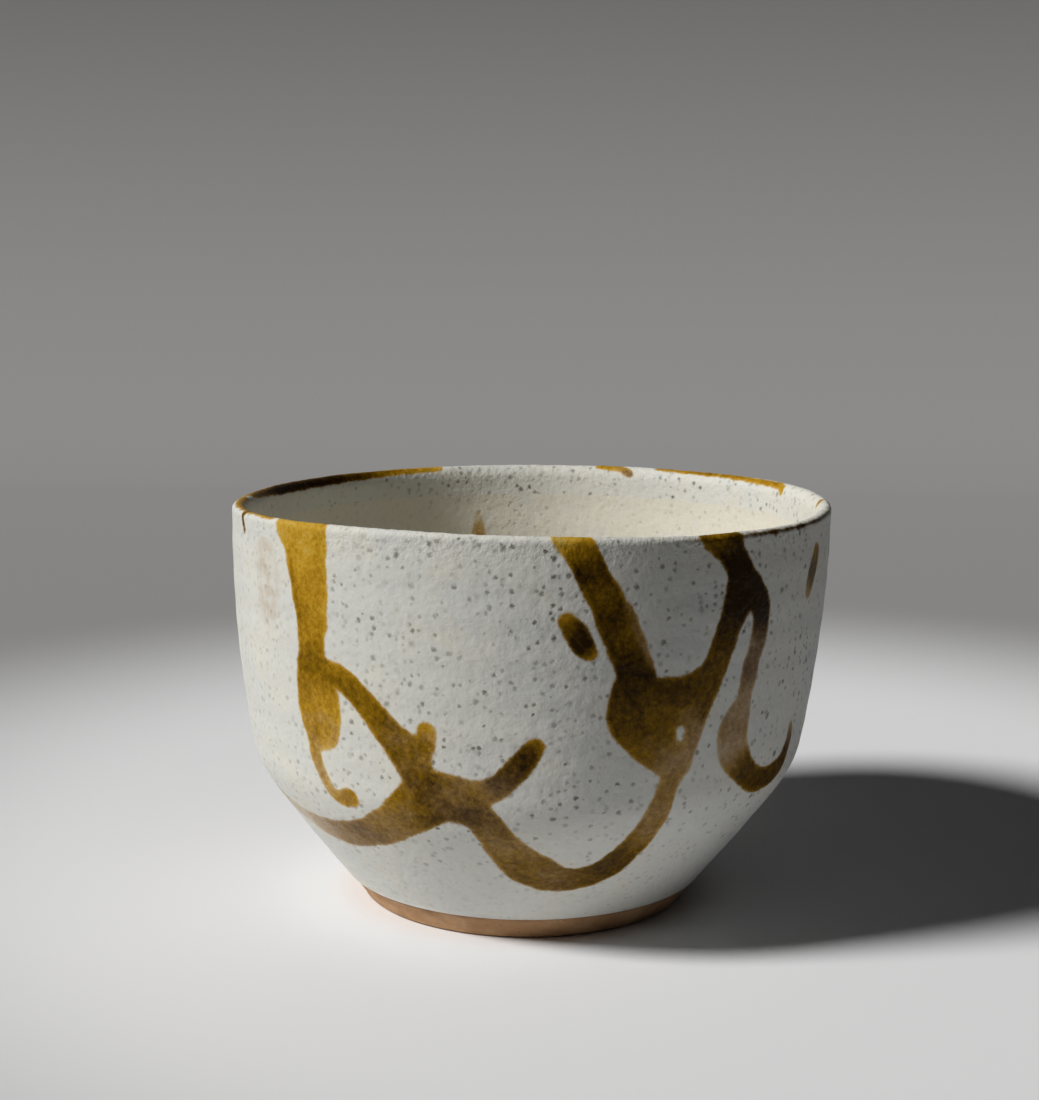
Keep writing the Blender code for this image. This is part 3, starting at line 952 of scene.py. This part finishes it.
def makeInsideGlaze(material):
    coat = insideCoat
    top = outsideCoat["startOver"]
    overs = np.append(np.arange(overInsideEnd, top, coat["spacing"]), top)
    front = pointOver(overs)
    back = backPoints(front, len(front) - 1, coat)
    back[-1, 0] = 0
    points = np.concatenate([front, back])
    points[0, 0] = 0
    backOver = top + coat["backFrom"] + np.arange(len(back)) * coat["backStep"]
    pathOver = np.concatenate([overs, backOver])
    piece = spinSection("inside_glaze", points, pathOver, coat["steps"], material, [top])
    addTrails(piece, [(lipTrails, False)])
    span = top + coat["mapEnd"] - overInsideEnd

    def place(turn, over, faceTurn):
        return onDisc(turn, (over - overInsideEnd) / span)

    addBakeMap(piece, place)
    finishSurface(piece, top)
    return piece


# Clay body: the bowl under its glaze, bare at the foot and underneath
clayBody = {
    "clayTopRadius": 33.4,
    "clayTopHeight": 4.3,
    "footRadius": 30.7,
    "footRounding": 0.6,
    "ringWidth": 5.5,
    "recessDepth": 2.6,
    "recessRun": 1.8,
    "recessRounding": 0.5,
    "underGlaze": 0.7,
    "hiddenPoints": 60,
    "hiddenOver": 60,  # places on the section for what the glaze hides, past every visible one
    "spacing": 0.5,
    "steps": 320,
}


def evenly(points, spacing):
    lengths = pathLengths(points)
    places = np.linspace(0, lengths[-1], max(2, int(round(lengths[-1] / spacing)) + 1))
    return np.stack([np.interp(places, lengths, points[:, axis]) for axis in (0, 1)], 1)


def footSection(clay):
    rounding = clay["footRounding"]
    ringInner = clay["footRadius"] - clay["ringWidth"]
    small = clay["recessRounding"]
    return np.concatenate([
        [(clay["clayTopRadius"], clay["clayTopHeight"])],
        arcPoints((clay["footRadius"] - rounding, rounding), rounding, 0, -90, 6),
        arcPoints((ringInner + small, small), small, -90, -150, 4),
        [(ringInner - clay["recessRun"], clay["recessDepth"] - small * 0.5)],
        [(ringInner - clay["recessRun"] - small, clay["recessDepth"])],
        [(0, clay["recessDepth"])],
    ])


def makeClayBody(material):
    clay = clayBody
    front = pointOver(np.linspace(overInsideEnd, overOutsideEnd, clay["hiddenPoints"]))
    hidden = front - inwardNormals(front) * clay["underGlaze"]
    hidden[0, 0] = 0
    foot = evenly(footSection(clay), clay["spacing"])
    foot[-1, 0] = 0
    points = np.concatenate([hidden[:-1], foot])
    footOvers = pathLengths(foot)
    hiddenOvers = np.linspace(clay["hiddenOver"], footOvers[-1] + 1, len(hidden) - 1)
    pathOver = np.concatenate([hiddenOvers, footOvers[-1] - footOvers])
    piece = spinSection("clay_body", points, pathOver, clay["steps"], material)

    def place(turn, over, faceTurn):
        return onDisc(turn, over / clay["hiddenOver"])

    addBakeMap(piece, place)
    finishSurface(piece, overInsideEnd - 1)
    return piece


# Stage, in metres: a floor with a painted pool of light round the bowl that fades to grey, painted shade in
# front, a wall, and a soft light from the left
stage = {
    "floorRadius": 3.0,
    "floorSegments": 96,
    "floorHeight": -0.0001,
    # Where the painted pool of light lies on the floor and how far it reaches
    "paintedPoolCentre": (0.03, 0.03, 0),
    "paintedPoolWithin": 0.12,
    "paintedPoolGreyBeyond": 0.28,
    "pale": (0.82, 0.83, 0.86),
    "grey": (0.31, 0.31, 0.315),
    "dim": (0.11, 0.11, 0.112),
    "dimInFront": (-0.02, 0.12),
    "roughness": 0.9,
    "shine": 0.1,
    "wallAt": 0.95,
    "wallHalfWidth": 0.8,
    "wallHeight": 1.1,
    "wallBottom": -0.0006,
    "sweep": 0.35,
    "sweepSteps": 24,
    "sky": (0.014, 0.0143, 0.015),
    "sunTurn": -69.0,
    "sunHeight": 40.0,
    "sunStrength": 3.5,
    "sunWidth": 12.0,
    "sunColour": (1.0, 0.985, 0.95),
}


def paintStage():
    nodes = Nodes("stage_paint")
    length = nodes.add("ShaderNodeVectorMath", operation="DISTANCE")
    nodes.put(length.inputs[0], nodes.coordinates())
    length.inputs[1].default_value = stage["paintedPoolCentre"]
    # Painted light: a pale pool round the bowl, fading to grey farther out
    away = nodes.between(length.outputs["Value"], stage["paintedPoolWithin"], stage["paintedPoolGreyBeyond"])
    behind = nodes.between(nodes.axes()[1], *stage["dimInFront"])
    # Painted shade: the floor in front is darker still, which also cuts the light it reflects onto the bowl
    paintedFalloff = nodes.mix(behind, opaque(stage["dim"]), opaque(stage["grey"]))
    nodes.surface("Base Color", nodes.mix(away, opaque(stage["pale"]), paintedFalloff))
    nodes.surface("Roughness", stage["roughness"])
    nodes.surface("Specular IOR Level", stage["shine"])
    return nodes.material


def makeStage():
    paint = paintStage()
    shape = bmesh.new()
    radius, segments = stage["floorRadius"], stage["floorSegments"]
    bmesh.ops.create_circle(shape, cap_ends=True, radius=radius, segments=segments)
    bmesh.ops.translate(shape, verts=shape.verts, vec=(0, 0, stage["floorHeight"]))
    meshObject("floor", shape, paint)

    # The wall behind: a floor edge swept up through a quarter circle, then straight up
    shape = bmesh.new()
    sweep, side = stage["sweep"], stage["wallHalfWidth"]
    foot = stage["wallAt"] - sweep
    lowEnds = [shape.verts.new((across, foot, stage["wallBottom"])) for across in (-side, side)]
    low = shape.edges.new(lowEnds)
    swept = bmesh.ops.spin(shape, geom=[*lowEnds, low], cent=(0, foot, sweep), axis=(1, 0, 0),
                           dvec=(0, 0, 0), angle=math.radians(90), steps=stage["sweepSteps"],
                           use_duplicate=False)
    top = [item for item in swept["geom_last"] if isinstance(item, bmesh.types.BMEdge)]
    raised = bmesh.ops.extrude_edge_only(shape, edges=top)
    lifted = [item for item in raised["geom"] if isinstance(item, bmesh.types.BMVert)]
    bmesh.ops.translate(shape, verts=lifted, vec=(0, 0, stage["wallHeight"] - sweep))
    meshObject("back_wall", shape, paint)


def makeLight():
    sun = bpy.data.lights.new("soft_key", "SUN")
    sun.energy = stage["sunStrength"]
    sun.angle = math.radians(stage["sunWidth"])
    sun.color = stage["sunColour"]
    turn, height = math.radians(stage["sunTurn"]), math.radians(stage["sunHeight"])
    across = math.cos(height)
    towards = Vector((math.sin(turn) * across, -math.cos(turn) * across, math.sin(height)))
    addObject("soft_key", sun).rotation_euler = towards.to_track_quat("Z", "Y").to_euler()
    world = bpy.data.worlds.new("even_sky")
    world.use_nodes = True
    world.node_tree.nodes["Background"].inputs["Color"].default_value = opaque(stage["sky"])
    bpy.context.scene.world = world


# Camera: the photograph's viewing angle, found from the rim's and the foot's ellipses
view = {
    "across": -0.00016,
    "distance": 0.3267,
    "height": 0.1143,
    "down": 8.835,
    "aside": 0.275,
    "roll": 0.458,
    "focalPixels": 1786,
    "longSidePixels": 1100,
    "sensor": 36.0,
    "clip": (0.01, 50),
}


def makeCamera():
    data = bpy.data.cameras.new("camera")
    data.sensor_width = view["sensor"]
    data.lens = view["focalPixels"] / view["longSidePixels"] * view["sensor"]
    data.clip_start, data.clip_end = view["clip"]
    camera = addObject("camera", data)
    turned = Euler((math.radians(90 - view["down"]), 0, math.radians(view["aside"]))).to_matrix().to_4x4()
    camera.matrix_world = (Matrix.Translation((view["across"], -view["distance"], view["height"])) @ turned
                           @ Matrix.Rotation(math.radians(view["roll"]), 4, "Z"))
    bpy.context.scene.camera = camera


makeCamera()
makeLight()
makeStage()
bpy.context.scene.view_settings.view_transform = "Standard"
print("stage and camera made")

outside = makeOutsideGlaze(glazeMaterial("speckled_glaze_outside", 1.0, 0.0))
print("outside glaze made")
inside = makeInsideGlaze(glazeMaterial("speckled_glaze_inside", 0.30, 0.25))
print("inside glaze made")
clay = makeClayBody(clayMaterial())
print("clay body made")

for piece in (outside, inside, clay):
    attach(piece, "root")
    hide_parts("tea_bowl")
    print(piece.name, sum(len(face.vertices) - 2 for face in piece.data.polygons), "triangles")
